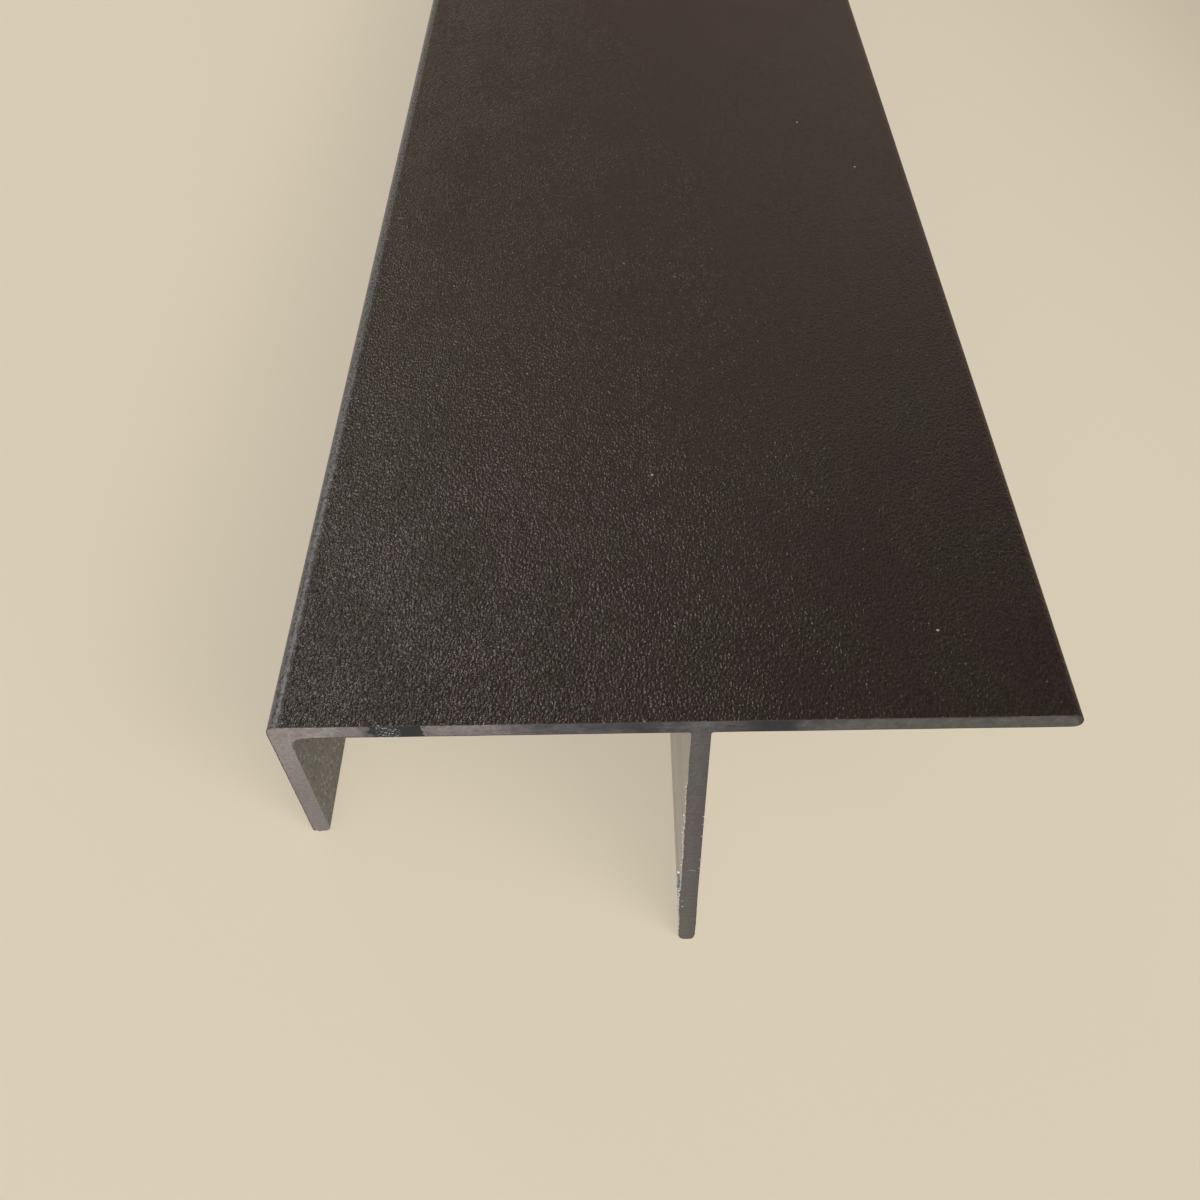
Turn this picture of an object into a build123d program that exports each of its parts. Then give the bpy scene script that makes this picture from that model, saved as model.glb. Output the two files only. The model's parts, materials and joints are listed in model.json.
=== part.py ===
from build123d import *
from math import asin, atan2, degrees, hypot
import os

# Driving sizes, in millimetres
# Heights run from the plate's top face down to a leg's tip.
plate_width = 60.0
plate_thickness = 1.5
short_leg_height = 16.0
short_leg_thickness = 1.5
long_leg_height = 40.0
long_leg_thickness = 1.5
channel_width = 30.0  # clear gap between the two legs
stock_length = 1000.0  # sawn square at both ends

# Corner radii of the die, in millimetres
outer_corner_radius = 0.8  # where the plate's top face turns down the short leg
flange_top_radius = 0.8
flange_underside_radius = 0.6
short_leg_root_radius = 1.2
long_leg_root_radius = 0.25
short_leg_outer_tip_radius = 0.2  # left almost sharp
short_leg_inner_tip_radius = 0.5
long_leg_tip_radius = 0.5

# The two roundings at one edge may share at most this much of its wall.
rounded_share = 0.94


def fit_pair(first_radius, second_radius, wall):
    # Two radii that meet across one wall, made smaller together where the wall is too thin for them.
    scale = min(1.0, rounded_share * wall / (first_radius + second_radius))
    return first_radius * scale, second_radius * scale


def round_corner(section, x, y, radius):
    corner = section.vertices().sort_by_distance((x, y, 0))[0]
    fillet(corner, radius)


# Where the long leg stands, counted from the short leg's outer face
long_leg_left = short_leg_thickness + channel_width
long_leg_right = long_leg_left + long_leg_thickness

flange_radii = fit_pair(flange_top_radius, flange_underside_radius, plate_thickness)
short_tip_radii = fit_pair(short_leg_outer_tip_radius, short_leg_inner_tip_radius, short_leg_thickness)
long_tip_radii = fit_pair(long_leg_tip_radius, long_leg_tip_radius, long_leg_thickness)

# The section, drawn upright: X runs across the plate and Y up, from the outer top corner
with BuildSketch() as section:
    Rectangle(plate_width, plate_thickness, align=(Align.MIN, Align.MAX))
    Rectangle(short_leg_thickness, short_leg_height, align=(Align.MIN, Align.MAX))
    with Locations((long_leg_left, 0)):
        Rectangle(long_leg_thickness, long_leg_height, align=(Align.MIN, Align.MAX))

    # Outer edges of the coated face
    round_corner(section, 0, 0, outer_corner_radius)
    round_corner(section, plate_width, 0, flange_radii[0])
    round_corner(section, plate_width, -plate_thickness, flange_radii[1])

    # Roots of the legs
    round_corner(section, short_leg_thickness, -plate_thickness, short_leg_root_radius)
    round_corner(section, long_leg_left, -plate_thickness, long_leg_root_radius)
    round_corner(section, long_leg_right, -plate_thickness, long_leg_root_radius)

    # Tips of the legs
    round_corner(section, 0, -short_leg_height, short_tip_radii[0])
    round_corner(section, short_leg_thickness, -short_leg_height, short_tip_radii[1])
    round_corner(section, long_leg_left, -long_leg_height, long_tip_radii[0])
    round_corner(section, long_leg_right, -long_leg_height, long_tip_radii[1])

# At rest with the coated face up, the stock leans onto both leg tips.
# The floor touches the rounding of each tip's outer corner, so it is the common tangent of those two circles.
tip_run = long_leg_left + long_tip_radii[0] - short_tip_radii[0]
tip_drop = (long_leg_height - long_tip_radii[0]) - (short_leg_height - short_tip_radii[0])
radius_step = long_tip_radii[0] - short_tip_radii[0]
lean = degrees(atan2(tip_drop, tip_run) + asin(radius_step / hypot(tip_run, tip_drop)))

# The leaning section runs along +Y, and its near sawn end faces -Y.
leaning_section = Plane.XZ * Rot(Z=lean) * section.sketch
stock = extrude(leaning_section, amount=stock_length, dir=(0, 1, 0))

# The origin is the middle of the footprint, on the floor.
box = stock.bounding_box()
stock = Pos(-box.center().X, -box.center().Y, -box.min.Z) * stock

os.makedirs("parts", exist_ok=True)
export_step(stock, "parts/extruded_profile.step")

print(f"lean {lean:.4f} degrees, box {box.size.X:.3f} x {box.size.Y:.3f} x {box.size.Z:.3f} mm")
print(f"section {stock.volume / stock_length:.2f} square millimetres")
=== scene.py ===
import bmesh
import bpy
import json
import math
from mathutils import Matrix, Vector, noise


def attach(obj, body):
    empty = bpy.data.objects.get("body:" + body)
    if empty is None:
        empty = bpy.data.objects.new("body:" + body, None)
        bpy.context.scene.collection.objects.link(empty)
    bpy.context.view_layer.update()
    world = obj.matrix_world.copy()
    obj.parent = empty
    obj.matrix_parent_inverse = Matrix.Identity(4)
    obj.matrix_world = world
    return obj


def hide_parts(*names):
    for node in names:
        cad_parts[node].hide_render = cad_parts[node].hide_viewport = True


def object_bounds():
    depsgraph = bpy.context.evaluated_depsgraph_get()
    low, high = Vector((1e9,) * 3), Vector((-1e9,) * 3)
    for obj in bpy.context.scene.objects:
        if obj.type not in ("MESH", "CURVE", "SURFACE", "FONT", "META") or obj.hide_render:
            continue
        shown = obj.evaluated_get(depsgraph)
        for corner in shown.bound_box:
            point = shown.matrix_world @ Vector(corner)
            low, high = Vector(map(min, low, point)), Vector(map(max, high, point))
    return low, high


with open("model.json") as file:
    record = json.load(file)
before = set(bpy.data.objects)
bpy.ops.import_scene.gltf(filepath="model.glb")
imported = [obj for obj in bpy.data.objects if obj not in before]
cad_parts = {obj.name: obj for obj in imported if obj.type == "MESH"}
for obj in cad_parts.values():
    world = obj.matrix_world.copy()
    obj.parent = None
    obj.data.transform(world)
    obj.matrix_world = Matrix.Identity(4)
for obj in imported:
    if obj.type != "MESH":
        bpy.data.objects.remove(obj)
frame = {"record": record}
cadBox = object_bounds()
millimetre = 0.001
print("frame loaded")

# The bar is drawn upright and in millimetres: x across the plate, y along the bar from the near end,
# z up from the plate's coated face. It is leaned onto its leg tips at the end.
bar = {
    "plateWidth": 60.0,
    "plateWall": 1.5,
    "shortLeg": 16.0,
    "shortWall": 1.5,
    "longLeg": 40.0,
    "longWall": 1.5,
    "channel": 30.0,
    "outerRound": 0.8,
    "flangeTopRound": 0.8,
    "flangeUnderRound": 0.6,
    "roundsFill": 0.94,  # the flange's two rounds take up no more of its wall than this
    "shortRootRound": 1.2,
    "longRootRound": 0.25,
    "shortOuterTip": 0.2,
    "shortInnerTip": 0.5,
    "longTip": 0.5,
    "roundSteps": (4, 5),  # steps round a corner: at least, and more for each millimetre of radius
    "cell": 0.25,  # grid over the sawn faces
    "legCell": 0.125,  # finer down the legs, for the saw's lip
    "ringsAtEnd": (0.0, 0.07, 0.16, 0.3, 0.55, 1.0, 1.8, 3.2, 6.0, 12.0, 25.0),
    "ringGap": 90.0,  # between the rings along the middle
    "weld": 0.001,  # points nearer than this are one
    "cutSlack": 0.01,  # points nearer than this to a cut are on it
    "coatSkin": 0.06,  # faces no deeper than this under the coated outline are coat
    "bareTip": 0.05,  # the short leg's tip is bare this far up
    "endFacing": 0.7,  # faces turned this much along the bar are its sawn ends
    "sharpAngle": 35,
}

# What the saw left on the cut edges, in millimetres
sawing = {
    "reach": 0.35,  # how far its traces run along the bar
    "touch": 0.02,  # a point this near a face counts as on it
    "faceDip": 0.03,  # how far the sawn face dips between its marks
    "dipStretch": (0.6, 9.0),  # the marks are long across the plate and close down it
    "dipScale": 0.5,
    "edgeChip": 0.07,  # how far the coat's edge crumbles back
    "chipDepth": 0.05,  # and how deep under the coated outline
    "chipScale": 2.4,
    # how far the cut edge is dragged out of the long leg's inner face: height, reach
    "lip": ((-2.0, 0.0), (-5.0, 0.03), (-9.0, 0.07), (-13.0, 0.09), (-28.4, 0.08), (-29.2, 0.34),
            (-33.2, 0.27), (-34.4, 0.17), (-38.4, 0.13), (-39.7, 0.03)),
    "lipRagged": 0.05,
    "lipTears": ((1.5, 1.0), (4.1, 0.6)),  # scale and share of its tears
    "tearsGrow": 12.0,  # a lip that reaches less is less torn
    "shineGrows": 10.0,  # and shines less
    "lipFold": (0.14, 0.12),  # past the first reach it folds in along the bar, by the second at most
    # how far the outer face flares at the cut: height, reach
    "flare": ((-12.0, 0.0), (-30.0, 0.02), (-35.0, 0.07), (-38.5, 0.06), (-39.7, 0.0)),
    "flareVaries": (1.3, 0.5),  # scale and share
    "tipNotch": (0.25, 0.11),  # place on the short leg's tip, and depth
    "tipTooth": (0.5, -0.13),
    "tipMark": 0.03,  # half the width of both
    "tipSlims": (1.2, 0.13),  # over the long leg's last part: its height, and what each side draws in
    "farSide": 50.0,  # the far end reads another part of the noise
    "seed": 7.3,
}


def wobble(a, b, c, scale):
    # smooth noise from -1 to 1, the same in every run
    return noise.noise(Vector((a * scale + sawing["seed"], b * scale, c * scale)))


def readTable(table, place):
    # straight steps between the rows of a falling table
    for (start, first), (end, second) in zip(table, table[1:]):
        if end <= place <= start:
            return first + (second - first) * (start - place) / (start - end)
    return 0.0


def longLegSides():
    left = bar["shortWall"] + bar["channel"]
    return left, left + bar["longWall"]


def sectionCorners():
    # x, z and radius of each corner
    width, wall, inner = bar["plateWidth"], bar["plateWall"], bar["shortWall"]
    left, right = longLegSides()
    share = min(1.0, bar["roundsFill"] * wall / (bar["flangeTopRound"] + bar["flangeUnderRound"]))
    return [
        (0.0, 0.0, bar["outerRound"]),
        (width, 0.0, bar["flangeTopRound"] * share),
        (width, -wall, bar["flangeUnderRound"] * share),
        (right, -wall, bar["longRootRound"]),
        (right, -bar["longLeg"], bar["longTip"]),
        (left, -bar["longLeg"], bar["longTip"]),
        (left, -wall, bar["longRootRound"]),
        (inner, -wall, bar["shortRootRound"]),
        (inner, -bar["shortLeg"], bar["shortInnerTip"]),
        (0.0, -bar["shortLeg"], bar["shortOuterTip"]),
    ]


def cutAcross(bm, axis, place):
    point, normal = Vector(), Vector()
    point[axis] = place
    normal[axis] = 1.0
    everything = bm.verts[:] + bm.edges[:] + bm.faces[:]
    bmesh.ops.bisect_plane(bm, geom=everything, dist=bar["cutSlack"], plane_co=point,
                           plane_no=normal)


def drawSection():
    bm = bmesh.new()
    corners = sectionCorners()
    bm.faces.new([bm.verts.new((x, 0.0, z)) for x, z, radius in corners])
    fewest, more = bar["roundSteps"]
    for x, z, radius in corners:
        corner = min(bm.verts, key=lambda vert: (vert.co - Vector((x, 0.0, z))).length)
        bmesh.ops.bevel(bm, geom=[corner], offset=radius, offset_type="OFFSET",
                        segments=fewest + round(more * radius), profile=0.5, affect="VERTICES",
                        material=-1)
    for count in range(1, round(bar["plateWidth"] / bar["cell"])):
        cutAcross(bm, 0, count * bar["cell"])
    for count in range(1, round(bar["plateWall"] / bar["cell"]) + 1):
        cutAcross(bm, 2, -count * bar["cell"])
    for count in range(1, round((bar["longLeg"] - bar["plateWall"]) / bar["legCell"])):
        cutAcross(bm, 2, -bar["plateWall"] - count * bar["legCell"])
    return bm


def pullLength(bm, length):
    ends = bar["ringsAtEnd"]
    middle = int((length - 2 * ends[-1]) / bar["ringGap"])
    gap = (length - 2 * ends[-1]) / middle
    rings = list(ends) + [ends[-1] + gap * count for count in range(1, middle)]
    rings += [length - place for place in reversed(ends)]
    cap = bm.faces[:]
    for place, last in zip(rings[1:], rings):
        # with its edges given too, the extrusion leaves no old cap behind inside the bar
        edges = list({edge for face in cap for edge in face.edges})
        made = bmesh.ops.extrude_face_region(bm, geom=cap + edges)["geom"]
        cap = [item for item in made if isinstance(item, bmesh.types.BMFace)]
        moved = [item for item in made if isinstance(item, bmesh.types.BMVert)]
        bmesh.ops.translate(bm, verts=moved, vec=(0.0, place - last, 0.0))
    bmesh.ops.remove_doubles(bm, verts=bm.verts[:], dist=bar["weld"])
    bmesh.ops.recalc_face_normals(bm, faces=bm.faces[:])


def coatDepth(x, z):
    # how deep a point of the section lies under the coated outline
    radius = bar["outerRound"]
    aside = max(radius - x, x - (bar["plateWidth"] - radius), 0.0)
    above = max(radius + z, 0.0)
    return radius - math.hypot(aside, above)


def slimTip(bm):
    height, most = sawing["tipSlims"]
    middle = sum(longLegSides()) / 2
    for vert in bm.verts:
        share = (height - bar["longLeg"] - vert.co.z) / height
        if share > 0.0:
            drawn = most * min(1.0, share) ** 2
            vert.co.x -= drawn * (vert.co.x - middle) / (bar["longWall"] / 2)


def roughenEnds(bm, length):
    left, right = longLegSides()
    touch = sawing["touch"]
    burr = bm.verts.layers.float.new("burr")
    for vert in bm.verts:
        x, y, z = vert.co
        fromEnd = min(y, length - y)
        fade = 1.0 - fromEnd / sawing["reach"]
        if fade <= 0.0:
            continue
        near = y < length / 2
        side, inward = (0.0, 1.0) if near else (sawing["farSide"], -1.0)
        # saw marks and crumbled coat on the sawn face
        if fromEnd < bar["weld"]:
            across, down = sawing["dipStretch"]
            mark = 0.5 + 0.5 * wobble(side, across * x, down * z, sawing["dipScale"])
            push = sawing["faceDip"] * mark
            if coatDepth(x, z) < sawing["chipDepth"]:
                push += sawing["edgeChip"] * max(0.0, wobble(x, side, z, sawing["chipScale"]))
            vert.co.y += inward * push
        # the long leg's edges are dragged out a little by the saw
        onTip = z < bar["longTip"] - bar["longLeg"]
        if abs(x - left) < touch or onTip and x < left + bar["longTip"]:
            reach = readTable(sawing["lip"], z)
            ragged = sum(share * wobble(x, side, z, scale) for scale, share in sawing["lipTears"])
            ragged *= sawing["lipRagged"] * min(1.0, sawing["tearsGrow"] * reach)
            vert.co.x -= max(0.0, reach + ragged) * fade
            start, most = sawing["lipFold"]
            vert.co.y += inward * min(most, max(0.0, reach - start)) * fade
            vert[burr] = fade * min(1.0, sawing["shineGrows"] * reach)
        elif abs(x - right) < touch or onTip and x > right - bar["longTip"]:
            scale, share = sawing["flareVaries"]
            varies = 1.0 + share * wobble(x, side, z, scale)
            vert.co.x += readTable(sawing["flare"], z) * varies * fade
        # a notch and a tooth on the short leg's tip
        if near and z < touch - bar["shortLeg"] and x < bar["shortWall"]:
            for place, rise in (sawing["tipNotch"], sawing["tipTooth"]):
                if abs(x - place) < sawing["tipMark"]:
                    vert.co.z += rise * fade


swarf = {
    "flakeTop": -24.95,  # a rolled flake on the long leg's inner edge
    "flakeBottom": -28.35,
    "flakeMiddle": (31.12, 0.085),
    "flakeRadius": 0.20,
    "flakeWall": 0.03,
    "flakeTurn": 198,  # degrees
    "flakeGrid": (28, 14),  # rows down it, and steps round it
    "flakeRim": 30.0,  # degrees along each rim painted bright as a glint
    "flakePinch": ((0.45, 5.0), (0.55, 4.0)),  # width at the top and bottom, and how fast it opens
    "flakeSwell": (0.25, 1.1),  # share and scale
    "flakeLean": (-0.05, 0.13),  # where it starts, and how far it runs over
    "flakeCrumple": 0.03,
    "crumpleScales": (2.9, 2.3),
    # rows of crumbs: from height, to height, how many, distance out of the leg, spread, size
    "rows": (
        (-4.8, -8.8, 9, 0.03, 0.02, 0.028),
        (-8.9, -14.0, 15, 0.11, 0.04, 0.044),
        (-14.1, -17.4, 18, 0.15, 0.11, 0.066),
        (-17.5, -24.8, 24, 0.14, 0.05, 0.054),
        (-28.7, -33.3, 15, 0.24, 0.07, 0.066),
    ),
    # single crumbs: x, z, size
    "single": ((31.10, -24.98, 0.12), (31.00, -28.38, 0.10), (32.99, -5.6, 0.05), (32.99, -9.8, 0.06),
               (33.00, -13.9, 0.07), (33.00, -14.6, 0.08), (33.00, -15.8, 0.08), (33.00, -17.7, 0.09),
               (33.00, -18.3, 0.06), (33.00, -22.3, 0.08), (33.01, -24.0, 0.08)),
    "crumbLumps": (0.5, 9.0),  # share and scale
    "crumbFlat": 0.7,
    "crumbTall": (1.6, 0.8),  # how tall, and how much that varies
    "crumbSize": (0.6, 1.1),  # the same for its size
    "crumbStray": 0.6,  # how far a crumb strays from its even place in the row
    # which part of the noise gives a crumb's height, place, distance and size
    "draws": {"tall": (2.0, 7.0, 0.7), "place": (4.0, 1.0, 0.83), "out": (9.0, 5.0, 0.63),
              "size": (3.0, 1.0, 0.77)},
    "behindCut": (0.02, 0.015),  # the flake and the crumbs stay behind the bar's end by this
    "sharpAngle": 50,
}


def addCrumb(bm, burr, x, z, size, count):
    share, scale = swarf["crumbLumps"]
    made = bmesh.ops.create_icosphere(bm, subdivisions=2, radius=size)["verts"]
    for vert in made:
        vert.co *= 1.0 + share * wobble(vert.co.x + count, vert.co.y, vert.co.z, scale)
        # every crumb is painted bright as a glint
        vert[burr] = 1.0
    tall, varies = swarf["crumbTall"]
    tall += varies * wobble(count, *swarf["draws"]["tall"])
    bmesh.ops.scale(bm, verts=made, vec=(1.0, swarf["crumbFlat"], tall))
    lowest = min(vert.co.y for vert in made)
    bmesh.ops.translate(bm, verts=made, vec=(x, swarf["behindCut"][1] - lowest, z))


def drawFlake(bm, burr):
    # a strip spun round an upright axis, then pinched and crumpled
    middleX, middleY = swarf["flakeMiddle"]
    top = swarf["flakeTop"]
    reach = swarf["flakeBottom"] - top
    rows, steps = swarf["flakeGrid"]
    spineX = middleX + swarf["flakeRadius"]
    spine = [bm.verts.new((spineX, middleY, top + reach * row / rows)) for row in range(rows + 1)]
    edges = [bm.edges.new(pair) for pair in zip(spine, spine[1:])]
    bmesh.ops.spin(bm, geom=spine + edges, cent=(middleX, middleY, 0.0), axis=(0.0, 0.0, 1.0),
                   dvec=(0.0, 0.0, 0.0), angle=math.radians(swarf["flakeTurn"]), steps=steps,
                   use_merge=False)
    (topWidth, topOpens), (lowWidth, lowOpens) = swarf["flakePinch"]
    swell, swellScale = swarf["flakeSwell"]
    crumple = swarf["flakeCrumple"]
    scaleX, scaleY = swarf["crumpleScales"]
    for vert in bm.verts:
        along = (vert.co.z - top) / reach
        turned = math.degrees(math.atan2(vert.co.y - middleY, vert.co.x - middleX)) % 360
        turned = 0.0 if turned > 300 else turned  # a hair before the first rim is the first rim
        fromRim = min(turned, swarf["flakeTurn"] - turned)
        vert[burr] = max(0.0, 1.0 - fromRim / swarf["flakeRim"])
        pinch = min(1.0, topWidth + topOpens * along, lowWidth + lowOpens * (1.0 - along))
        pinch *= 1.0 + swell * wobble(1.0, 2.0, vert.co.z, swellScale)
        lean = swarf["flakeLean"][0] + swarf["flakeLean"][1] * along
        vert.co.x = middleX + (vert.co.x - middleX) * pinch + lean
        vert.co.y = middleY + (vert.co.y - middleY) * pinch
        vert.co.x += crumple * wobble(vert.co.x, vert.co.y, vert.co.z, scaleX)
        pushed = vert.co.y + crumple * wobble(vert.co.z, vert.co.x, vert.co.y, scaleY)
        vert.co.y = max(swarf["behindCut"][0], pushed)
    bmesh.ops.recalc_face_normals(bm, faces=bm.faces[:])
    bmesh.ops.solidify(bm, geom=bm.faces[:], thickness=swarf["flakeWall"])


def drawSwarf():
    left = longLegSides()[0]
    bm = bmesh.new()
    burr = bm.verts.layers.float.new("burr")
    drawFlake(bm, burr)
    draws = swarf["draws"]
    least, varies = swarf["crumbSize"]
    count = 0
    for top, bottom, number, out, spread, size in swarf["rows"]:
        for step in range(number):
            count += 1
            stray = swarf["crumbStray"] * wobble(count, *draws["place"])
            z = top + (bottom - top) * (step + stray) / number
            aside = out + spread * 2.0 * wobble(count, *draws["out"])
            grown = size * (least + varies * abs(wobble(count, *draws["size"])))
            addCrumb(bm, burr, left - aside, z, grown, count)
    for x, z, size in swarf["single"]:
        count += 1
        addCrumb(bm, burr, x, z, size, count)
    bmesh.ops.recalc_face_normals(bm, faces=bm.faces[:])
    for face in bm.faces:
        face.smooth = True
    return bm


def findPlace(section, length):
    # the lean of the frame's own part, and the shift that puts the leaned section on the floor
    side = next(m for m in frame["record"]["mounts"] if m["name"] == "long_leg_outer_face")
    lean = math.atan2(side["axis"][2], side["axis"][0])
    turn = Matrix.Rotation(-lean, 3, "Y")
    leaned = [turn @ vert.co for vert in section.verts]
    across = [point.x for point in leaned]
    lowest = min(point.z for point in leaned)
    return lean, Vector((-(min(across) + max(across)) / 2, -length / 2, -lowest))


def setDown(bm, lean, shift):
    verts = bm.verts[:]
    bmesh.ops.transform(bm, matrix=Matrix.Rotation(-lean, 4, "Y"), verts=verts)
    bmesh.ops.translate(bm, verts=verts, vec=shift)
    bmesh.ops.scale(bm, verts=verts, vec=(millimetre,) * 3)


# Node helpers
noiseSpread = (0.3, 0.7)  # most of a noise's values lie between these


def put(tree, kind, inputs, output=0, **settings):
    made = tree.nodes.new(kind)
    for key, value in settings.items():
        setattr(made, key, value)
    for key, value in inputs.items():
        if isinstance(value, bpy.types.NodeSocket):
            tree.links.new(value, made.inputs[key])
        else:
            made.inputs[key].default_value = value
    return made.outputs[output]


def calc(tree, operation, first, second=0.0, clamp=False):
    return put(tree, "ShaderNodeMath", {0: first, 1: second}, operation=operation, use_clamp=clamp)


def times(tree, first, *others):
    for other in others:
        first = calc(tree, "MULTIPLY", first, other)
    return first


def plus(tree, first, *others):
    for other in others:
        first = calc(tree, "ADD", first, other)
    return first


def minus(tree, first, second, clamp=False):
    return calc(tree, "SUBTRACT", first, second, clamp)


def isAbove(tree, first, second):
    return calc(tree, "GREATER_THAN", first, second)


def offFrom(tree, value, middle):
    return calc(tree, "ABSOLUTE", minus(tree, value, middle))


def fadeBetween(tree, value, low, high, start=0.0, end=1.0):
    inputs = {0: value, 1: low, 2: high, 3: start, 4: end}
    return put(tree, "ShaderNodeMapRange", inputs, interpolation_type="SMOOTHSTEP")


def swing(tree, value, start=0.0, end=1.0):
    # carries a noise over from start to end
    return fadeBetween(tree, value, *noiseSpread, start, end)


def blend(tree, factor, first, second, mode="MIX"):
    inputs = {0: factor, 6: first, 7: second}
    return put(tree, "ShaderNodeMix", inputs, output=2, data_type="RGBA", blend_type=mode)


def blendValue(tree, factor, first, second):
    return put(tree, "ShaderNodeMix", {0: factor, 2: first, 3: second}, data_type="FLOAT")


def toned(tree, colour, tone):
    # makes a colour lighter or darker by a number
    grey = put(tree, "ShaderNodeCombineColor", {0: tone, 1: tone, 2: tone})
    return blend(tree, 1.0, colour, grey, "MULTIPLY")


def grainOf(tree, place, scale, detail=2.0, roughness=0.5):
    inputs = {"Vector": place, "Scale": scale, "Detail": detail, "Roughness": roughness}
    return put(tree, "ShaderNodeTexNoise", inputs)


def stretched(tree, place, scale):
    return put(tree, "ShaderNodeMapping", {"Vector": place, "Scale": scale})


def drawnGrain(tree, place, stretch, *grain):
    return grainOf(tree, stretched(tree, place, stretch), *grain)


def singleGrains(tree, place, scale):
    # the distance from the nearest grain's middle, and a chance number for that grain
    inputs = {"Vector": place, "Scale": scale}
    fromMiddle = put(tree, "ShaderNodeTexVoronoi", inputs, output="Distance")
    return fromMiddle, apart(tree, fromMiddle.node.outputs["Color"])[0]


def distanceTo(tree, place, point):
    return put(tree, "ShaderNodeVectorMath", {0: place, 1: point}, output="Value",
               operation="DISTANCE")


def lengthOf(tree, vector):
    return put(tree, "ShaderNodeVectorMath", {0: vector}, output="Value", operation="LENGTH")


def burrOf(tree):
    return put(tree, "ShaderNodeAttribute", {}, output="Fac", attribute_name="burr")


def addBump(tree, shader, height, depth):
    inputs = {"Height": height, "Strength": 1.0, "Distance": depth * millimetre}
    tree.links.new(put(tree, "ShaderNodeBump", inputs), shader.inputs["Normal"])


def sectionPlace(tree, lean, shift):
    # object coordinates turned back to the upright section, in millimetres
    back = Matrix.Rotation(lean, 3, "Y") @ -shift
    place = put(tree, "ShaderNodeTexCoord", {}, output="Object")
    inputs = {"Vector": place, "Location": back, "Rotation": (0.0, lean, 0.0),
              "Scale": (1.0 / millimetre,) * 3}
    return put(tree, "ShaderNodeMapping", inputs)


def newMaterial(name):
    material = bpy.data.materials.new(name)
    material.use_nodes = True
    tree = material.node_tree
    return material, tree, tree.nodes["Principled BSDF"]


def ramp(tree, value, stops):
    # stops are (place, tone) or (place, red, green, blue)
    made = tree.nodes.new("ShaderNodeValToRGB")
    tree.links.new(value, made.inputs["Fac"])
    steps = made.color_ramp.elements
    for count, (place, *tone) in enumerate(stops):
        step = steps[count] if count < 2 else steps.new(place)
        step.position = place
        step.color = (*(tone * 3)[:3], 1.0)
    return made.outputs["Color"]


def apart(tree, place):
    split = tree.nodes.new("ShaderNodeSeparateXYZ")
    tree.links.new(place, split.inputs[0])
    return split.outputs


def fromNearestEnd(tree, y, length):
    return calc(tree, "MINIMUM", y, minus(tree, length, y))


# In the finishes, a fade is: from, to, and the values there (0 and 1 where they are left out).
# A grain is: scale, detail, roughness, with its stretch first where it is drawn out.
coat = {
    "brown": (0.0218, 0.0145, 0.0106, 1.0),
    "plum": (0.0224, 0.0139, 0.0112, 1.0),
    "olive": (0.0200, 0.0155, 0.0106, 1.0),
    "brownShare": 0.4,
    "patches": ((1.0, 0.6, 1.0), 0.16),  # plum and olive ones, and flatter and rougher ones
    "patchEdge": (0.36, 0.64),
    "oliveByEdge": (18.0, 2.0, -0.06, 0.16),  # more olive beside the rounded edge
    "paler": (10.0, 34.0, 1.0, 1.15),  # painted sheen: the coat is painted lighter towards the flange
    "broad": (0.9, 2.0),
    "roughness": (0.20, 0.26),
    "crestHighlight": (0.142, 0.147, 0.164, 1.0),  # painted highlight on the crest of the outer rounding, a lighter bluish grey in place of a reflection
    "crestAcross": (1.40, 1.00),
    "crestDown": (-1.1, -0.75),
    "crestRagged": 0.4,
    "crestGrain": (0.36, 0.58, 0.25, 1.0),
    "crestRough": 0.15,
    "crestHeight": 0.3,
    "drawnOut": 0.6,  # the grain is this much coarser along the bar
    "grain": (4.8, 1.0),  # bumps to a millimetre
    "grainHeight": 0.12,
    "broadHeight": 0.3,  # of the slow swells, as a share of the grain's
    "grainVaries": (0.35, 0.65, 0.82, 1.12),
    "flatter": (14.0, 50.0, 1.0, 0.76),
    "nibScale": 3.4,  # taller single grains, most low and a few tall
    "nibHeight": 0.9,
    "nibEdge": (0.5, 0.0),
    "nibRarity": 4.0,
    "fewerNibs": (10.0, 46.0, 1.0, 0.45),
    "topScale": 5.4,  # the smallest grains
    # their tops carry painted glints, faint on many and bright on a few: colour, share, edge, rarity
    "paintedGlints": (((0.17, 0.142, 0.115, 1.0), 0.20, (0.42, 0.10), 2.5),
             ((0.44, 0.40, 0.34, 1.0), 0.48, (0.30, 0.05), 16.0)),
    # the painted glints fade out towards the flange
    "fewerGlints": (6.0, 44.0, 1.0, 0.14),
    "pitShade": (0.35, 0.75, 1.05, 0.72),  # painted shade: darker between them
    "dust": (0.42, 0.40, 0.37, 1.0),
    "dustPlaces": ((48.7, 86.6), (54.2, 75.9), (50.8, 8.0), (29.3, 25.7)),
    "dustSize": 0.16,
    "dustCore": 0.4,
    "scratch": (2.2, 67.7, 0.0),
    "scratchStretch": (0.2, 1.3, 1.0),
    "scratchEdge": (0.14, 0.05),
    "scratchShare": 0.25,
    "chipMetal": (0.36, 0.34, 0.32, 1.0),  # where the saw crumbled the coat
    "chips": (2.2, 3.0, 0.7),
    "chipReach": (0.56, 0.76, 0.0, 0.26),
    "chipMetallic": 0.8,
}


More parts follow.
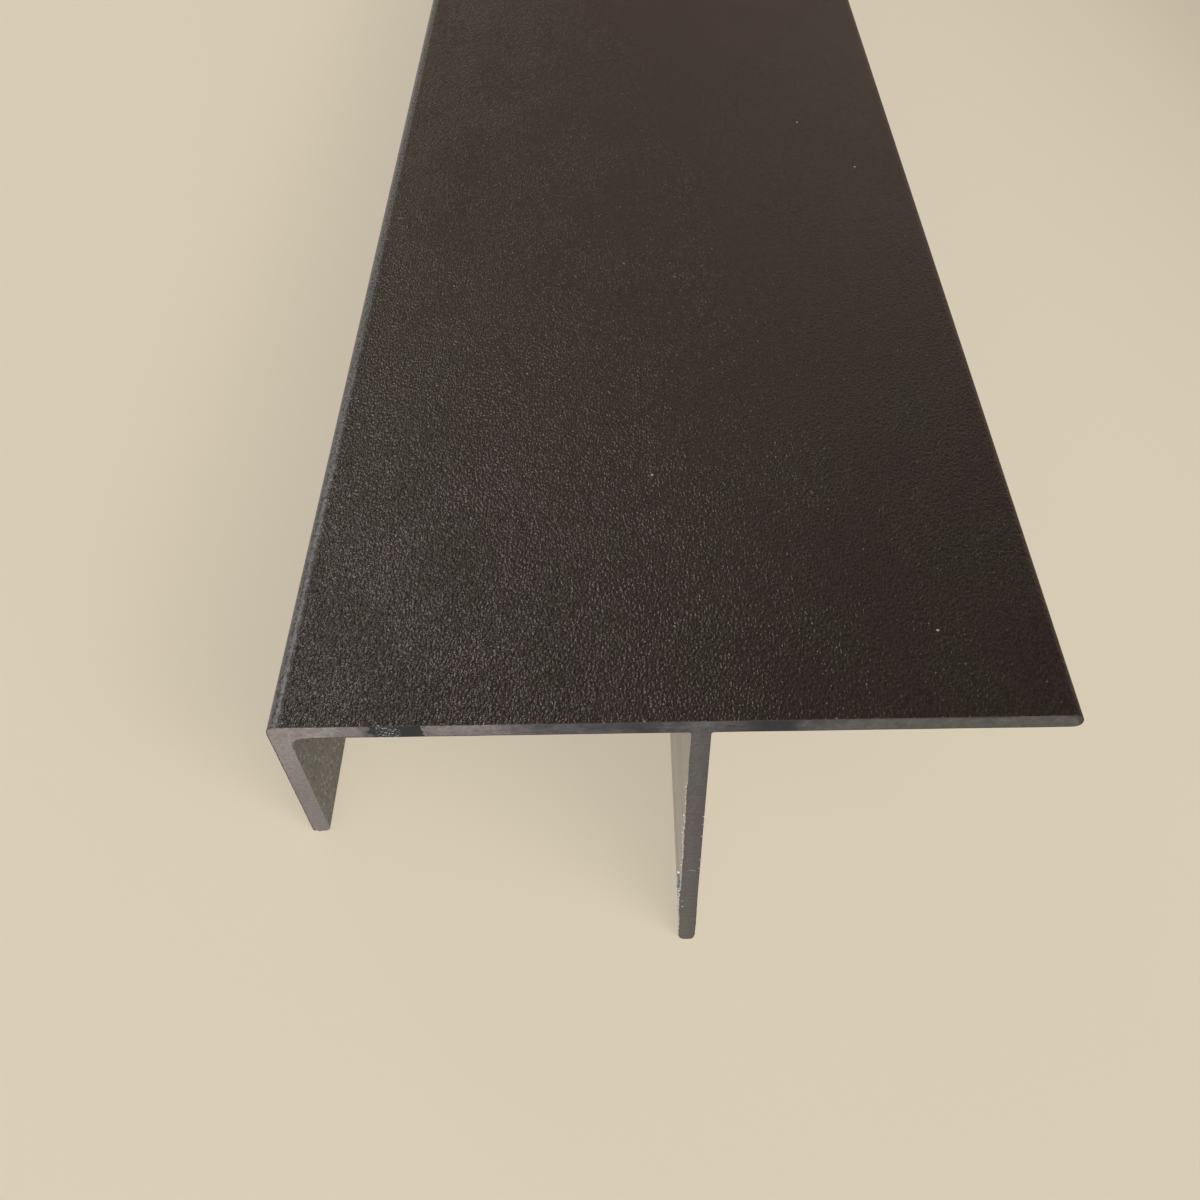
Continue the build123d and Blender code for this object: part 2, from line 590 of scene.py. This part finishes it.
def makeCoat(lean, shift, length):
    material, tree, shader = newMaterial("powderCoat")
    place = sectionPlace(tree, lean, shift)
    x, y, z = apart(tree, place)
    along = stretched(tree, place, (1.0, coat["drawnOut"], 1.0))
    fine = grainOf(tree, along, *coat["grain"])
    broad = grainOf(tree, place, *coat["broad"])
    patch = drawnGrain(tree, place, *coat["patches"])
    greener = plus(tree, patch, fadeBetween(tree, x, *coat["oliveByEdge"]))
    colour = blend(tree, fadeBetween(tree, greener, *coat["patchEdge"]), coat["plum"], coat["olive"])
    colour = blend(tree, coat["brownShare"], colour, coat["brown"])
    # the crest of the outer rounding is painted a lighter grey: a painted highlight
    crest = plus(tree, x, times(tree, broad, coat["crestRagged"]))
    crest = fadeBetween(tree, crest, *coat["crestAcross"])
    crestSheen = times(tree, crest, fadeBetween(tree, fine, *coat["crestGrain"]),
                   fadeBetween(tree, z, *coat["crestDown"]))
    colour = blend(tree, crestSheen, colour, coat["crestHighlight"])
    # the smallest grains: painted glints on their tops, painted shade in the pits between them
    fromTop, chance = singleGrains(tree, along, coat["topScale"])
    fewer = fadeBetween(tree, x, *coat["fewerGlints"])
    for tone, share, edge, rarity in coat["paintedGlints"]:
        top = times(tree, fadeBetween(tree, fromTop, *edge), calc(tree, "POWER", chance, rarity))
        top = times(tree, top, times(tree, fewer, share))
        colour = blend(tree, top, colour, tone)
    pitShade = fadeBetween(tree, fromTop, *coat["pitShade"])
    # the painted shade in the pits, times the painted sheen towards the flange
    colour = toned(tree, colour, times(tree, pitShade, fadeBetween(tree, x, *coat["paler"])))
    # dust, and one scratch beside the rounded edge
    for dustX, dustY in coat["dustPlaces"]:
        spot = distanceTo(tree, place, (dustX, dustY, 0.0))
        spot = fadeBetween(tree, spot, coat["dustSize"], coat["dustCore"] * coat["dustSize"])
        colour = blend(tree, spot, colour, coat["dust"])
    away = put(tree, "ShaderNodeVectorMath", {0: place, 1: coat["scratch"]}, operation="SUBTRACT")
    away = put(tree, "ShaderNodeVectorMath", {0: away, 1: coat["scratchStretch"]},
               operation="MULTIPLY")
    nick = fadeBetween(tree, lengthOf(tree, away), *coat["scratchEdge"])
    colour = blend(tree, times(tree, nick, coat["scratchShare"]), colour, coat["dust"])
    # crumbled edge at the saw cuts
    reach = fadeBetween(tree, grainOf(tree, place, *coat["chips"]), *coat["chipReach"])
    chipped = calc(tree, "LESS_THAN", fromNearestEnd(tree, y, length), reach)
    colour = blend(tree, chipped, colour, coat["chipMetal"])
    tree.links.new(colour, shader.inputs["Base Color"])
    rough = plus(tree, swing(tree, broad, *coat["roughness"]), times(tree, crestSheen, coat["crestRough"]))
    tree.links.new(rough, shader.inputs["Roughness"])
    tree.links.new(times(tree, chipped, coat["chipMetallic"]), shader.inputs["Metallic"])
    # single grains stand up from the coat
    fromNib, chance = singleGrains(tree, along, coat["nibScale"])
    tall = calc(tree, "POWER", chance, coat["nibRarity"])
    nibs = times(tree, fadeBetween(tree, fromNib, *coat["nibEdge"]), tall,
                 fadeBetween(tree, x, *coat["fewerNibs"]))
    height = plus(tree, fine, times(tree, broad, coat["broadHeight"]),
                  times(tree, nibs, coat["nibHeight"]))
    height = times(tree, height, fadeBetween(tree, patch, *coat["grainVaries"]),
                   fadeBetween(tree, crest, 0.0, 1.0, 1.0, coat["crestHeight"]),
                   fadeBetween(tree, x, *coat["flatter"]))
    addBump(tree, shader, height, coat["grainHeight"])
    return material


bare = {
    "metal": (0.56, 0.555, 0.58, 1.0),
    "dull": (0.50, 0.495, 0.51, 1.0),
    "cloud": ((1.0, 0.1, 1.0), 0.25, 2.0),
    "cloudEdge": (0.35, 0.65),
    "bands": ((1.3, 0.0015, 1.3), 1.0, 4.0, 0.7),  # broad lines from the die
    "bandTone": (0.92, 1.06),
    "bandRough": 0.05,
    "lines": ((6.0, 0.004, 6.0), 1.0, 3.0, 0.6),  # and fine ones
    "lineHeight": 0.0004,
    "frost": (4.2, 2.0, 0.6),  # the fine grain of the extruded skin
    "frostTone": (0.90, 1.10),
    "grain": ((1.0, 0.4, 1.0), 4.0, 2.0),
    "grainHeight": 0.012,
    "lessGrain": (2.0, 9.0, 1.0, 0.3),
    "overspray": (0.072, 0.067, 0.049, 1.0),
    "specks": ((1.0, 1.2, 1.0), 3.0, 3.0, 0.6),
    "cover": (2.0, 9.0, 0.55, 0.17),  # thick inside the short leg, thin towards the long one
    "coverOutside": 0.08,  # and thinner behind that
    "outsideFrom": 0.4,  # which starts this far into its wall
    "coverEdge": (57.0, 60.0, 0.0, 0.5),  # thicker again at the flange's edge
    "coverTip": (-15.2, -16.0, 0.0, 0.6),  # and round the short leg's tip
    "tipWidth": 1.6,  # the short leg lies within this x
    "sprayEdge": (0.72, 1.05),
    "sprayShare": 0.9,
    "fleck": (0.030, 0.025, 0.017, 1.0),  # dark spots in the thick overspray
    "flecks": (2.6, 2.0),
    "fleckEdge": (0.56, 0.68),
    "fewerFlecks": (2.0, 6.0, 0.85, 0.0),
    "paintedLipGlint": (0.85, 0.85, 0.85, 1.0),  # painted glint on the torn lip
    "glintBreaks": (3.4, 2.0),
    "glintBreakEdge": (0.42, 0.56, 0.30, 1.0),
    "metallic": 0.85,
    "roughEdge": (0.3, 0.9, 0.44, 0.53),
    "sprayRough": 0.3,
}


def makeBare(lean, shift):
    material, tree, shader = newMaterial("bareExtrusion")
    place = sectionPlace(tree, lean, shift)
    sides = apart(tree, place)
    x, z = sides[0], sides[2]
    lines = drawnGrain(tree, place, *bare["lines"])
    bands = drawnGrain(tree, place, *bare["bands"])
    cloud = drawnGrain(tree, place, *bare["cloud"])
    colour = blend(tree, fadeBetween(tree, cloud, *bare["cloudEdge"]), bare["metal"], bare["dull"])
    frost = swing(tree, grainOf(tree, place, *bare["frost"]), *bare["frostTone"])
    colour = toned(tree, colour, times(tree, frost, swing(tree, bands, *bare["bandTone"])))
    # the coat's overspray
    speck = drawnGrain(tree, place, *bare["specks"])
    cover = fadeBetween(tree, x, *bare["cover"])
    outside = isAbove(tree, x, longLegSides()[0] + bare["outsideFrom"])
    cover = minus(tree, cover, times(tree, outside, bare["cover"][3] - bare["coverOutside"]))
    edge = fadeBetween(tree, x, *bare["coverEdge"])
    tip = times(tree, fadeBetween(tree, z, *bare["coverTip"]),
                calc(tree, "LESS_THAN", x, bare["tipWidth"]))
    cover = plus(tree, cover, calc(tree, "MAXIMUM", edge, tip))
    spray = fadeBetween(tree, plus(tree, speck, cover), *bare["sprayEdge"])
    colour = blend(tree, times(tree, spray, bare["sprayShare"]), colour, bare["overspray"])
    fleck = times(tree, fadeBetween(tree, grainOf(tree, place, *bare["flecks"]), *bare["fleckEdge"]),
                  fadeBetween(tree, x, *bare["fewerFlecks"]))
    colour = blend(tree, fleck, colour, bare["fleck"])
    # a painted glint along the lip, broken up by a noise
    glinting = fadeBetween(tree, grainOf(tree, place, *bare["glintBreaks"]), *bare["glintBreakEdge"])
    colour = blend(tree, times(tree, burrOf(tree), glinting), colour, bare["paintedLipGlint"])
    tree.links.new(colour, shader.inputs["Base Color"])
    metal = times(tree, minus(tree, 1.0, spray), bare["metallic"])
    tree.links.new(metal, shader.inputs["Metallic"])
    rough = plus(tree, cloud, times(tree, spray, bare["sprayRough"]))
    rough = fadeBetween(tree, rough, *bare["roughEdge"])
    rough = plus(tree, rough, swing(tree, bands, -bare["bandRough"], bare["bandRough"]))
    tree.links.new(rough, shader.inputs["Roughness"])
    # fine die lines, and a grain where the spray lies
    grain = times(tree, drawnGrain(tree, place, *bare["grain"]),
                  fadeBetween(tree, x, *bare["lessGrain"]))
    height = plus(tree, times(tree, lines, bare["lineHeight"] / bare["grainHeight"]), grain)
    addBump(tree, shader, height, bare["grainHeight"])
    return material


sawn = {
    "light": (0.350, 0.345, 0.375, 1.0),
    "dull": (0.070, 0.074, 0.094, 1.0),
    "warm": (0.115, 0.117, 0.116, 1.0),  # towards the flange
    "warmFrom": (0.68, 0.76),
    "warmShare": 0.8,
    # how bright the cut is along the plate: place as a share of its width, and share of the light tone
    "brightness": ((0.0, 0.94), (0.075, 0.92), (0.095, 0.60), (0.125, 0.54), (0.19, 0.62), (0.28, 0.64),
                   (0.315, 0.30), (0.335, 0.04), (0.50, 0.02), (0.53, 0.20), (0.57, 0.02), (0.66, 0.0),
                   (0.69, 0.13), (0.75, 0.17), (1.0, 0.10)),
    "legDrop": 0.02,  # the legs' ends are duller
    "shortDrop": 0.25,  # the short one's more so
    "shortWithin": 2.0,  # the short leg lies within this x
    "dropFrom": (-2.0, -10.0),  # heights
    "plateEdge": 0.1,  # the plate's tones end this far under it
    # on the plate the tones run in streaks
    "cloud": ((0.25, 3.0, 0.4), 1.0, 4.0, 0.6),
    "cloudTone": (-0.14, 0.14),
    "streak": ((0.5, 3.0, 4.0), 1.0, 3.0, 0.6),
    "streakTone": (-0.10, 0.10),
    # on the legs they are even and finely mottled
    "mottle": (1.1, 3.0, 0.6),
    "mottleTone": (-0.05, 0.05),
    "ragged": (4.0, 3.0, 0.7),
    "raggedTone": (-0.035, 0.035),
    "bladeCentre": (34.0, 0.0, 128.0),  # the saw marks are arcs about this point
    "markGap": 5.0,  # marks to a millimetre
    "markDrift": 0.12,
    "marks": (1.0, 4.0, 0.65),
    "markTone": (0.35, 0.65, -0.01, 0.01),
    "markHeight": 0.0012,
    "legMarks": 0.4,  # how high they are on the legs
    "pink": (1.01, 0.99, 1.0, 1.0),
    "blush": (0.45, 2.0),
    "blushEdge": (0.35, 0.6),
    "longTint": (1.09, 1.09, 1.01, 1.0),  # the long leg's end is warmer
    "longFrom": 5.0,  # below the plate, what lies past this x is the long leg
    "plumTint": (1.05, 0.975, 0.99, 1.0),  # and a little plum in its middle
    "plumLow": (-22.0, -18.0),
    "plumHigh": (-8.0, -15.0),
    "speckles": (3.2, 2.0, 0.6),
    "speckle": (0.86, 1.14),  # fine dark and light spots over the whole cut
    "cloudy": (0.84, 1.16),  # and broader ones on the plate
    "rosy": (1.03, 0.97, 0.985, 1.0),
    "greenish": (0.955, 1.01, 1.02, 1.0),
    "tints": ((0.35, 1.0, 1.6), 1.0, 2.0),
    "tintEdge": (0.36, 0.64),
    "underLine": 0.07,  # a dark line along the plate's lower edge: painted shade, partly coat overspray
    "underSoft": 0.02,
    "underRagged": (0.35, 0.5, 0.5, 1.0),
    "underGap": 0.15,  # it stops this far from the long leg
    "underFrom": 3.0,  # and at this x beside the short one
    "smear": (0.018, 0.025, 0.038, 1.0),
    # place along the plate, half width, how strong, and where it starts to fade
    "smears": ((7.7, 0.9, 0.36, 0.3), (9.75, 2.05, 0.97, 0.92), (37.6, 2.5, 0.80, 0.3),
               (28.0, 1.7, 0.50, 0.3)),
    "smearEnd": 1.05,
    "smearRagged": (1.6, 3.0),
    "smearStray": (-0.3, 0.3),
    "scratch": (0.78, 0.82, 0.86, 1.0),
    "scraped": (9.0, 1.15, 0.5),  # bright scrapes in the first smear: place, half width, and full within
    "scrapes": ((5.0, 1.0, 8.5), 1.0, 2.0, 0.6),
    "scrapeEdge": (0.545, 0.67),
    "brightMark": (32.34, -24.4),  # a single deep saw line on the long leg
    "brightSlope": 0.34,
    "brightHigh": (0.11, 0.03, 0.0, 0.30),
    "brightWide": (0.36, 0.26),
    # painted glints: small bright spots on the long leg's cut: x, z, size
    "glintSpots": ((31.64, -32.2, 0.16), (31.58, -31.0, 0.12), (32.93, -14.4, 0.13), (32.93, -15.8, 0.11),
               (32.94, -17.9, 0.14), (32.93, -22.3, 0.11), (32.94, -24.0, 0.13)),
    "glintSpotCore": 0.3,
    "glintSpotShare": 0.7,
    "glintBurr": (0.72, 0.95),
    "glintEdge": (0.42, 0.55),
    # the coat's dark rim, also used for the painted shade along the plate's lower edge
    "coatRimAndUnderShade": (0.030, 0.026, 0.024, 1.0),
    "rimDepth": 0.085,
    "rimRagged": (0.3, 1.5),  # least and most, as shares of that
    # how deep the rim is by place as a share of the plate's width: towards the flange it is first
    # thicker, then chipped away, and thick again round its edge
    "rimSteps": ((0.0, 0.22), (0.78, 0.27), (0.86, 0.60), (0.915, 0.56), (0.925, 0.03), (0.975, 0.0),
                 (0.982, 0.6), (1.0, 0.9)),
    "rimStep": 4.0,  # a step of 1 is this many common depths
    "noseAcross": (58.9, 59.6, 0.0, 0.42),  # the coat is thick round the flange's edge
    "noseDown": (-0.95, -0.75),
    "metallic": 0.7,
    "roughness": (0.38, 0.5),
}


def makeSawn(lean, shift, length):
    material, tree, shader = newMaterial("sawnEnd")
    middle = sum(longLegSides()) / 2
    width, wall = bar["plateWidth"], bar["plateWall"]
    x, y, z = apart(tree, sectionPlace(tree, lean, shift))
    # the far cut is another cut: it has its own noise, and its tones run the other way
    far = isAbove(tree, y, length / 2)
    near = minus(tree, 1.0, far)
    flat = put(tree, "ShaderNodeCombineXYZ", {0: x, 1: far, 2: z})
    along = blendValue(tree, far, x, minus(tree, width, x))
    along = calc(tree, "DIVIDE", along, width)
    arcs = put(tree, "ShaderNodeCombineXYZ",
               {0: times(tree, distanceTo(tree, flat, sawn["bladeCentre"]), sawn["markGap"]),
                1: times(tree, x, sawn["markDrift"]), 2: 0.0})
    marks = grainOf(tree, arcs, *sawn["marks"])
    cloud = drawnGrain(tree, flat, *sawn["cloud"])
    ragged = grainOf(tree, flat, *sawn["ragged"])
    mottle = grainOf(tree, flat, *sawn["mottle"])
    onPlate = isAbove(tree, z, -wall - sawn["plateEdge"])
    onLong = times(tree, minus(tree, 1.0, onPlate), isAbove(tree, x, sawn["longFrom"]))
    # how bright the cut is
    streaks = plus(tree, swing(tree, cloud, *sawn["cloudTone"]),
                   swing(tree, drawnGrain(tree, flat, *sawn["streak"]), *sawn["streakTone"]))
    mottling = plus(tree, swing(tree, mottle, *sawn["mottleTone"]),
                    swing(tree, ragged, *sawn["raggedTone"]))
    bright = plus(tree, ramp(tree, along, sawn["brightness"]),
                  blendValue(tree, onPlate, mottling, streaks),
                  times(tree, onPlate, fadeBetween(tree, marks, *sawn["markTone"])))
    short = calc(tree, "LESS_THAN", x, sawn["shortWithin"])
    drop = plus(tree, sawn["legDrop"], times(tree, short, sawn["shortDrop"]))
    drop = times(tree, drop, fadeBetween(tree, z, *sawn["dropFrom"]))
    bright = minus(tree, bright, drop, clamp=True)
    colour = blend(tree, bright, sawn["dull"], sawn["light"])
    # its tints
    warmth = times(tree, fadeBetween(tree, along, *sawn["warmFrom"]), sawn["warmShare"])
    colour = blend(tree, warmth, colour, sawn["warm"])
    blush = fadeBetween(tree, grainOf(tree, flat, *sawn["blush"]), *sawn["blushEdge"])
    colour = blend(tree, blush, colour, sawn["pink"], "MULTIPLY")
    colour = blend(tree, onLong, colour, sawn["longTint"], "MULTIPLY")
    plum = times(tree, fadeBetween(tree, z, *sawn["plumLow"]), fadeBetween(tree, z, *sawn["plumHigh"]),
                 onLong)
    colour = blend(tree, plum, colour, sawn["plumTint"], "MULTIPLY")
    speckle = swing(tree, grainOf(tree, flat, *sawn["speckles"]), *sawn["speckle"])
    broader = blendValue(tree, onPlate, 1.0, swing(tree, mottle, *sawn["cloudy"]))
    colour = toned(tree, colour, times(tree, speckle, broader))
    tint = fadeBetween(tree, drawnGrain(tree, flat, *sawn["tints"]), *sawn["tintEdge"])
    tint = blend(tree, tint, sawn["rosy"], sawn["greenish"])
    colour = blend(tree, 1.0, colour, tint, "MULTIPLY")
    # the dark line along the plate's lower edge: painted shade, partly coat overspray
    low, soft = sawn["underLine"] - wall, sawn["underSoft"]
    offLeg = offFrom(tree, x, middle)
    lowest = times(tree, onPlate, fadeBetween(tree, z, low + soft, low - soft),
                   fadeBetween(tree, ragged, *sawn["underRagged"]),
                   isAbove(tree, offLeg, bar["longWall"] / 2 + sawn["underGap"]),
                   isAbove(tree, x, sawn["underFrom"]))
    colour = blend(tree, lowest, colour, sawn["coatRimAndUnderShade"])
    # smears of blade dirt on the near cut, and scrapes through the first
    stray = swing(tree, grainOf(tree, flat, *sawn["smearRagged"]), *sawn["smearStray"])
    warped = plus(tree, x, stray)
    onNearPlate = times(tree, onPlate, near)
    for place, half, strength, soft in sawn["smears"]:
        off = offFrom(tree, warped, place)
        mask = fadeBetween(tree, off, half * sawn["smearEnd"], half * soft, 0.0, strength)
        colour = blend(tree, times(tree, mask, onNearPlate), colour, sawn["smear"])
    place, outer, inner = sawn["scraped"]
    scrape = fadeBetween(tree, offFrom(tree, x, place), outer, inner)
    flecks = fadeBetween(tree, drawnGrain(tree, flat, *sawn["scrapes"]), *sawn["scrapeEdge"])
    colour = blend(tree, times(tree, scrape, onNearPlate, flecks), colour, sawn["scratch"])
    # the deep saw line, and the painted glints of small spots on the long leg
    markX, markZ = sawn["brightMark"]
    slope = times(tree, minus(tree, x, markX), sawn["brightSlope"])
    off = calc(tree, "ABSOLUTE", plus(tree, minus(tree, z, markZ), slope))
    line = times(tree, fadeBetween(tree, off, *sawn["brightHigh"]),
                 fadeBetween(tree, offFrom(tree, x, markX), *sawn["brightWide"]), near)
    colour = blend(tree, line, colour, sawn["scratch"])
    for spotX, spotZ, size in sawn["glintSpots"]:
        spot = distanceTo(tree, flat, (spotX, 0.0, spotZ))
        spot = fadeBetween(tree, spot, size, sawn["glintSpotCore"] * size, 0.0, sawn["glintSpotShare"])
        colour = blend(tree, spot, colour, sawn["scratch"])
    # a painted glint along the lip's burr
    glint = times(tree, fadeBetween(tree, burrOf(tree), *sawn["glintBurr"]),
                  fadeBetween(tree, ragged, *sawn["glintEdge"]))
    colour = blend(tree, glint, colour, bare["paintedLipGlint"])
    # the coat shows as a dark rim along the coated outline
    radius = bar["outerRound"]
    aside = calc(tree, "MAXIMUM", minus(tree, radius, x), minus(tree, x, width - radius))
    aside = calc(tree, "MAXIMUM", aside, 0.0)
    over = calc(tree, "MAXIMUM", plus(tree, z, radius), 0.0)
    across = put(tree, "ShaderNodeCombineXYZ", {0: aside, 1: over, 2: 0.0})
    depth = minus(tree, radius, lengthOf(tree, across))
    least, most = sawn["rimRagged"]
    limit = swing(tree, ragged, least * sawn["rimDepth"], most * sawn["rimDepth"])
    steps = ramp(tree, calc(tree, "DIVIDE", x, width), sawn["rimSteps"])
    limit = times(tree, limit, times(tree, steps, sawn["rimStep"]))
    nose = times(tree, fadeBetween(tree, x, *sawn["noseAcross"]),
                 fadeBetween(tree, z, *sawn["noseDown"]))
    rim = calc(tree, "LESS_THAN", depth, calc(tree, "MAXIMUM", limit, nose))
    colour = blend(tree, rim, colour, sawn["coatRimAndUnderShade"])
    tree.links.new(colour, shader.inputs["Base Color"])
    metal = times(tree, minus(tree, 1.0, rim), sawn["metallic"])
    tree.links.new(metal, shader.inputs["Metallic"])
    rough = swing(tree, blendValue(tree, onPlate, mottle, cloud), *sawn["roughness"])
    tree.links.new(rough, shader.inputs["Roughness"])
    height = times(tree, marks, fadeBetween(tree, onPlate, 0.0, 1.0, sawn["legMarks"], 1.0))
    addBump(tree, shader, height, sawn["markHeight"])
    return material


# The swarf is painted with light: its bright and bluish grey tones are painted glints and a painted cool
# reflection, its shade tone painted shade.
burrMetal = {
    "bright": (0.94, 0.96, 0.98, 1.0),
    "grey": (0.52, 0.58, 0.63, 1.0),
    "shade": (0.17, 0.22, 0.27, 1.0),  # painted shade inside the rolled flake
    "patches": (2.4, 2.0),
    "patchEdge": (0.36, 0.52),
    "streaks": ((9.0, 2.0, 0.9), 1.0, 2.0),
    "streakEdge": (0.54, 0.66, 0.0, 0.8),
    "metallic": 0.65,
    "roughness": (0.22, 0.36),
}


def makeBurrMetal(lean, shift):
    material, tree, shader = newMaterial("paintedBurrLight")
    place = sectionPlace(tree, lean, shift)
    patch = grainOf(tree, place, *burrMetal["patches"])
    streak = drawnGrain(tree, place, *burrMetal["streaks"])
    streak = fadeBetween(tree, streak, *burrMetal["streakEdge"])
    # painted glints on the rims, crumbs and streaks, painted shade elsewhere
    glinting = calc(tree, "MAXIMUM", burrOf(tree), streak)
    bright = fadeBetween(tree, patch, *burrMetal["patchEdge"])
    bright = blend(tree, bright, burrMetal["grey"], burrMetal["bright"])
    colour = blend(tree, glinting, burrMetal["shade"], bright)
    tree.links.new(colour, shader.inputs["Base Color"])
    tree.links.new(swing(tree, patch, *burrMetal["roughness"]), shader.inputs["Roughness"])
    shader.inputs["Metallic"].default_value = burrMetal["metallic"]
    return material


def addPiece(name, bm, materials, sharp):
    mesh = bpy.data.meshes.new(name)
    bm.to_mesh(mesh)
    bm.free()
    mesh.set_sharp_from_angle(angle=math.radians(sharp))
    for material in materials:
        mesh.materials.append(material)
    piece = bpy.data.objects.new(name, mesh)
    bpy.context.scene.collection.objects.link(piece)
    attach(piece, "root")
    print(name, "built:", len(mesh.vertices), "vertices,", len(mesh.polygons), "faces")
    return piece


def chooseFinish(face):
    # 0 coat, 1 bare extrusion, 2 sawn ends
    middle = face.calc_center_median()
    if abs(face.normal.y) > bar["endFacing"]:
        return 2
    onTip = middle.z < bar["bareTip"] - bar["shortLeg"]
    if not onTip and coatDepth(middle.x, middle.z) < bar["coatSkin"]:
        return 0
    return 1


def buildBar():
    length = round((cadBox[1].y - cadBox[0].y) / millimetre, 3)
    bm = drawSection()
    lean, shift = findPlace(bm, length)
    slimTip(bm)
    pullLength(bm, length)
    for face in bm.faces:
        face.material_index = chooseFinish(face)
        face.smooth = True
    roughenEnds(bm, length)
    setDown(bm, lean, shift)
    finishes = [makeCoat(lean, shift, length), makeBare(lean, shift), makeSawn(lean, shift, length)]
    piece = addPiece("coatedExtrusion", bm, finishes, bar["sharpAngle"])
    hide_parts("extruded_profile")
    return lean, shift


def buildSwarf(lean, shift):
    bm = drawSwarf()
    setDown(bm, lean, shift)
    addPiece("sawSwarf", bm, [makeBurrMetal(lean, shift)], swarf["sharpAngle"])


studio = {
    "floorSize": 14.0,
    "floorColour": (0.755, 0.668, 0.520, 1.0),
    "floorRoughness": 0.8,
    "floorSpecular": 0.2,
    "floorGlow": 0.60,  # share of its plain colour that the floor shows even in shadow
    "cameraPlace": (-0.04476, -0.544169, 0.08317),
    "cameraTurn": (39.2801, -35.3298, 0.1503),  # degrees
    "lens": 33.1075,
    "sensor": 36.0,
    "clip": (0.005, 50.0),
    # the room's light by height, from the horizon (0) to straight up (1)
    "room": ((0.0, 0.13, 0.105, 0.085), (0.22, 0.26, 0.175, 0.13), (0.36, 0.38, 0.28, 0.225),
             (0.52, 0.54, 0.48, 0.42), (0.68, 0.25, 0.22, 0.20), (0.85, 0.11, 0.105, 0.105)),
    "lamps": (
        # name, place, aimed at, width, height, watts, colour
        ("leftSoftbox", (-1.47, 0.60, 0.68), (0.0, -0.46, 0.03), 0.50, 0.38, 4.8, (1.0, 0.945, 0.90)),
        ("frontLeftSoftbox", (-0.7, -1.6, 0.9), (0.0, -0.45, 0.0), 1.7, 1.3, 14.6, (0.96, 1.0, 0.993)),
        ("frontRightSoftbox", (0.8, -1.3, 1.1), (0.0, -0.45, 0.0), 1.7, 1.3, 13.8, (1.0, 0.99, 0.98)),
    ),
}


def makeFloor():
    bm = bmesh.new()
    bmesh.ops.create_grid(bm, x_segments=2, y_segments=2, size=studio["floorSize"] / 2)
    mesh = bpy.data.meshes.new("floor")
    bm.to_mesh(mesh)
    bm.free()
    material, tree, shader = newMaterial("paleFloor")
    shader.inputs["Base Color"].default_value = studio["floorColour"]
    shader.inputs["Roughness"].default_value = studio["floorRoughness"]
    shader.inputs["Specular IOR Level"].default_value = studio["floorSpecular"]
    ray = tree.nodes.new("ShaderNodeLightPath")
    seen = calc(tree, "MAXIMUM", ray.outputs["Is Camera Ray"], ray.outputs["Is Glossy Ray"])
    glow = put(tree, "ShaderNodeEmission", {"Color": studio["floorColour"], "Strength": 1.0})
    share = times(tree, seen, studio["floorGlow"])
    mixed = put(tree, "ShaderNodeMixShader", {0: share, 1: shader.outputs[0], 2: glow})
    tree.links.new(mixed, tree.nodes["Material Output"].inputs["Surface"])
    mesh.materials.append(material)
    floor = bpy.data.objects.new("floor", mesh)
    bpy.context.scene.collection.objects.link(floor)


def makeWorld():
    world = bpy.data.worlds.new("studio")
    bpy.context.scene.world = world
    world.use_nodes = True
    tree = world.node_tree
    height = apart(tree, put(tree, "ShaderNodeTexCoord", {}, output="Generated"))[2]
    background = tree.nodes["Background"]
    tree.links.new(ramp(tree, height, studio["room"]), background.inputs["Color"])


def makeLamps():
    for name, place, target, width, height, watts, colour in studio["lamps"]:
        lamp = bpy.data.lights.new(name, "AREA")
        lamp.shape = "RECTANGLE"
        lamp.size = width
        lamp.size_y = height
        lamp.energy = watts
        lamp.color = colour
        holder = bpy.data.objects.new(name, lamp)
        bpy.context.scene.collection.objects.link(holder)
        holder.location = place
        holder.visible_camera = False
        aim = Vector(target) - Vector(place)
        holder.rotation_euler = aim.to_track_quat("-Z", "Y").to_euler()


def makeCamera():
    lens = bpy.data.cameras.new("camera")
    lens.sensor_width = studio["sensor"]
    lens.lens = studio["lens"]
    lens.clip_start, lens.clip_end = studio["clip"]
    camera = bpy.data.objects.new("camera", lens)
    bpy.context.scene.collection.objects.link(camera)
    camera.location = studio["cameraPlace"]
    camera.rotation_euler = [math.radians(turn) for turn in studio["cameraTurn"]]
    bpy.context.scene.camera = camera


makeCamera()
makeFloor()
makeWorld()
makeLamps()
print("studio ready")
lean, shift = buildBar()
buildSwarf(lean, shift)
bpy.context.scene.view_settings.view_transform = "Standard"
